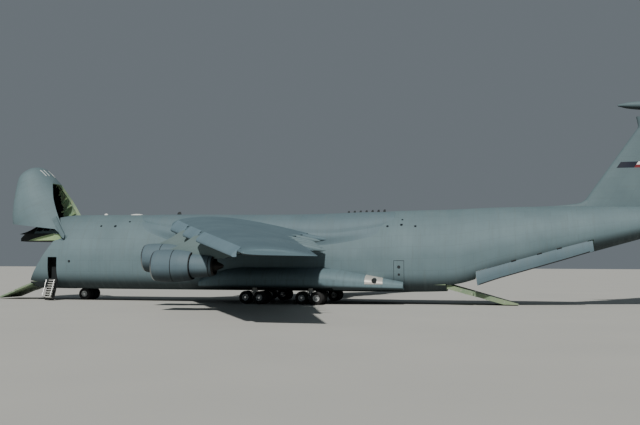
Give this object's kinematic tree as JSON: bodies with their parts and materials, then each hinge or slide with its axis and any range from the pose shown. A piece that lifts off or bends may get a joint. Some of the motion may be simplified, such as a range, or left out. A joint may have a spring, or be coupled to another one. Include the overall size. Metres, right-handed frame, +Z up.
{
  "type": "military transport plane, half-size model",
  "caption": "High-wing military cargo jet with lifting nose visor, loading ramps, aft cargo doors, wing pylon engines, T-tail and kneeling multi-wheel gear.",
  "frame": {"origin": "bottom centre of the bounding box, on the ground", "axes": "+X aft from the nose to the tail, +Y to the aircraft's right wing tip, +Z up"},
  "size_m": [36.9994, 33.9, 9.6732],
  "materials": {
    "grey_paint": "weathered satin grey paint",
    "dark_paint": "weathered satin blue grey paint",
    "primer": "matt green primer",
    "bare_metal": "heat stained bare metal",
    "gear_paint": "gloss white paint",
    "tyre": "worn black rubber",
    "glazing": "tinted laminated glass"
  },
  "bodies": {
    "root": {"forward_fuselage": "grey_paint", "flight_deck_glass": "glazing", "centre_fuselage": "grey_paint", "aft_fuselage": "grey_paint", "cargo_floor": "primer", "wing_fairing": "grey_paint", "wing_left": "dark_paint", "wing_right": "dark_paint", "engine_outer_left": "bare_metal", "pylon_outer_left": "grey_paint", "engine_outer_right": "bare_metal", "pylon_outer_right": "grey_paint", "engine_inner_left": "bare_metal", "pylon_inner_left": "grey_paint", "engine_inner_right": "bare_metal", "pylon_inner_right": "grey_paint", "fin": "grey_paint", "gear_pod_left": "grey_paint", "gear_pod_right": "grey_paint", "main_gear_front_left": "gear_paint", "main_gear_front_right": "gear_paint", "main_gear_rear_left": "gear_paint", "main_gear_rear_right": "gear_paint", "nose_gear_leg": "gear_paint"},
    "visor": {"nose_visor": "grey_paint"},
    "forward_ramp": {"forward_ramp": "primer"},
    "forward_ramp_extension": {"forward_ramp_extension": "primer"},
    "crew_door": {"crew_door": "grey_paint"},
    "aft_ramp": {"aft_ramp": "primer"},
    "pressure_door": {"pressure_door": "primer"},
    "centre_door": {"centre_door": "grey_paint"},
    "petal_door_left": {"petal_door_left": "grey_paint"},
    "petal_door_right": {"petal_door_right": "grey_paint"},
    "nose_steering": {"nose_gear_fork": "gear_paint"},
    "nose_wheels": {"nose_wheels": "tyre"},
    "main_wheels_front_left_lead": {"main_wheels_front_left_lead": "tyre"},
    "main_wheels_front_left_trail": {"main_wheels_front_left_trail": "tyre"},
    "main_wheels_front_right_lead": {"main_wheels_front_right_lead": "tyre"},
    "main_wheels_front_right_trail": {"main_wheels_front_right_trail": "tyre"},
    "main_wheels_rear_left_lead": {"main_wheels_rear_left_lead": "tyre"},
    "main_wheels_rear_left_trail": {"main_wheels_rear_left_trail": "tyre"},
    "main_wheels_rear_right_lead": {"main_wheels_rear_right_lead": "tyre"},
    "main_wheels_rear_right_trail": {"main_wheels_rear_right_trail": "tyre"},
    "fan_outer_left": {"fan_outer_left": "bare_metal"},
    "fan_outer_right": {"fan_outer_right": "bare_metal"},
    "fan_inner_left": {"fan_inner_left": "bare_metal"},
    "fan_inner_right": {"fan_inner_right": "bare_metal"},
    "aileron_left": {"aileron_left": "dark_paint"},
    "aileron_right": {"aileron_right": "dark_paint"},
    "elevator_left": {"elevator_left": "grey_paint"},
    "elevator_right": {"elevator_right": "grey_paint"},
    "tailplane": {"tailplane": "grey_paint"},
    "rudder_lower": {"rudder_lower": "grey_paint"},
    "rudder_upper": {"rudder_upper": "grey_paint"}
  },
  "joints": [
    {"name": "visor_hinge", "type": "hinge", "parent": "root", "child": "visor", "pos_m": [-14.4503, 0, 3.3], "axis": [0, 1, 0], "range_deg": [-64, 0]},
    {"name": "forward_ramp_hinge", "type": "hinge", "parent": "root", "child": "forward_ramp", "pos_m": [-16.1753, 0, 0.99], "axis": [0, -1, 0], "range_deg": [-110, 0]},
    {"name": "forward_ramp_fold", "type": "hinge", "parent": "forward_ramp", "child": "forward_ramp_extension", "pos_m": [-17.384, 0, 0.51144], "axis": [0, -1, 0], "range_deg": [-178, 0]},
    {"name": "crew_door_hinge", "type": "hinge", "parent": "root", "child": "crew_door", "pos_m": [-14.9003, -1.61, 1.1], "axis": [1, 0, 0], "range_deg": [-155, 0]},
    {"name": "aft_ramp_hinge", "type": "hinge", "parent": "root", "child": "aft_ramp", "pos_m": [5.1497, 0, 1], "axis": [0, 1, 0], "range_deg": [-31.2, 0]},
    {"name": "pressure_door_hinge", "type": "hinge", "parent": "root", "child": "pressure_door", "pos_m": [8.4247, 0, 3.05], "axis": [0, 1, 0], "range_deg": [-88, 0]},
    {"name": "centre_door_hinge", "type": "hinge", "parent": "root", "child": "centre_door", "pos_m": [11.7747, 0, 2.6007], "axis": [0, 1, 0], "range_deg": [-13, 0]},
    {"name": "petal_door_left_hinge", "type": "hinge", "parent": "root", "child": "petal_door_left", "pos_m": [6.4997, -1.585, 1.6], "axis": [-0.9607, -0.0673, -0.2694], "range_deg": [-48, 0]},
    {"name": "petal_door_right_hinge", "type": "hinge", "parent": "root", "child": "petal_door_right", "pos_m": [6.4997, 1.585, 1.6], "axis": [0.9607, -0.0673, 0.2694], "range_deg": [-48, 0]},
    {"name": "nose_steering", "type": "hinge", "parent": "root", "child": "nose_steering", "pos_m": [-13.6503, 0, 0.5], "axis": [0, 0, 1], "range_deg": [-60, 60]},
    {"name": "nose_wheels_spin", "type": "hinge", "parent": "nose_steering", "child": "nose_wheels", "pos_m": [-13.6503, 0, 0.31125], "axis": [0, 1, 0], "continuous": true},
    {"name": "front_left_lead_spin", "type": "hinge", "parent": "root", "child": "main_wheels_front_left_lead", "pos_m": [-4.3153, -2.31, 0.31125], "axis": [0, 1, 0], "continuous": true},
    {"name": "front_left_trail_spin", "type": "hinge", "parent": "root", "child": "main_wheels_front_left_trail", "pos_m": [-3.5353, -2.31, 0.31125], "axis": [0, 1, 0], "continuous": true},
    {"name": "front_right_lead_spin", "type": "hinge", "parent": "root", "child": "main_wheels_front_right_lead", "pos_m": [-4.3153, 2.31, 0.31125], "axis": [0, 1, 0], "continuous": true},
    {"name": "front_right_trail_spin", "type": "hinge", "parent": "root", "child": "main_wheels_front_right_trail", "pos_m": [-3.5353, 2.31, 0.31125], "axis": [0, 1, 0], "continuous": true},
    {"name": "rear_left_lead_spin", "type": "hinge", "parent": "root", "child": "main_wheels_rear_left_lead", "pos_m": [-1.5653, -2.31, 0.31125], "axis": [0, 1, 0], "continuous": true},
    {"name": "rear_left_trail_spin", "type": "hinge", "parent": "root", "child": "main_wheels_rear_left_trail", "pos_m": [-0.7853, -2.31, 0.31125], "axis": [0, 1, 0], "continuous": true},
    {"name": "rear_right_lead_spin", "type": "hinge", "parent": "root", "child": "main_wheels_rear_right_lead", "pos_m": [-1.5653, 2.31, 0.31125], "axis": [0, 1, 0], "continuous": true},
    {"name": "rear_right_trail_spin", "type": "hinge", "parent": "root", "child": "main_wheels_rear_right_trail", "pos_m": [-0.7853, 2.31, 0.31125], "axis": [0, 1, 0], "continuous": true},
    {"name": "fan_outer_left_spin", "type": "hinge", "parent": "root", "child": "fan_outer_left", "pos_m": [-5.5753, -9.55, 1.8], "axis": [1, 0, 0], "continuous": true},
    {"name": "fan_outer_right_spin", "type": "hinge", "parent": "root", "child": "fan_outer_right", "pos_m": [-5.5753, 9.55, 1.8], "axis": [1, 0, 0], "continuous": true},
    {"name": "fan_inner_left_spin", "type": "hinge", "parent": "root", "child": "fan_inner_left", "pos_m": [-7.4503, -6.1, 2.135], "axis": [1, 0, 0], "continuous": true},
    {"name": "fan_inner_right_spin", "type": "hinge", "parent": "root", "child": "fan_inner_right", "pos_m": [-7.4503, 6.1, 2.135], "axis": [1, 0, 0], "continuous": true},
    {"name": "aileron_left_hinge", "type": "hinge", "parent": "root", "child": "aileron_left", "pos_m": [-0.2675, -12.1, 2.6268], "axis": [-0.3431, 0.9351, 0.089], "range_deg": [-25, 15]},
    {"name": "aileron_right_hinge", "type": "hinge", "parent": "root", "child": "aileron_right", "pos_m": [-0.2675, 12.1, 2.6268], "axis": [0.3431, 0.9351, -0.089], "range_deg": [-25, 15]},
    {"name": "tailplane_trim", "type": "hinge", "parent": "root", "child": "tailplane", "pos_m": [17.0497, 0, 9], "axis": [0, 1, 0], "range_deg": [-6, 4]},
    {"name": "elevator_left_hinge", "type": "hinge", "parent": "tailplane", "child": "elevator_left", "pos_m": [16.8188, -0.375, 9.3435], "axis": [-0.2728, 0.9601, 0.0614], "range_deg": [-25, 15]},
    {"name": "elevator_right_hinge", "type": "hinge", "parent": "tailplane", "child": "elevator_right", "pos_m": [16.8188, 0.375, 9.3435], "axis": [0.2728, 0.9601, -0.0614], "range_deg": [-25, 15]},
    {"name": "rudder_lower_hinge", "type": "hinge", "parent": "root", "child": "rudder_lower", "pos_m": [15.2655, 0, 4.975], "axis": [0.3569, 0, 0.9341], "range_deg": [-35, 35]},
    {"name": "rudder_upper_hinge", "type": "hinge", "parent": "root", "child": "rudder_upper", "pos_m": [16.0201, 0, 6.95], "axis": [0.3569, 0, 0.9341], "range_deg": [-35, 35]}
  ],
  "couplings": [
    {"joint": "forward_ramp_hinge", "follows": "visor_hinge", "ratio": 1.7188},
    {"joint": "forward_ramp_fold", "follows": "visor_hinge", "ratio": 2.7812}
  ]
}
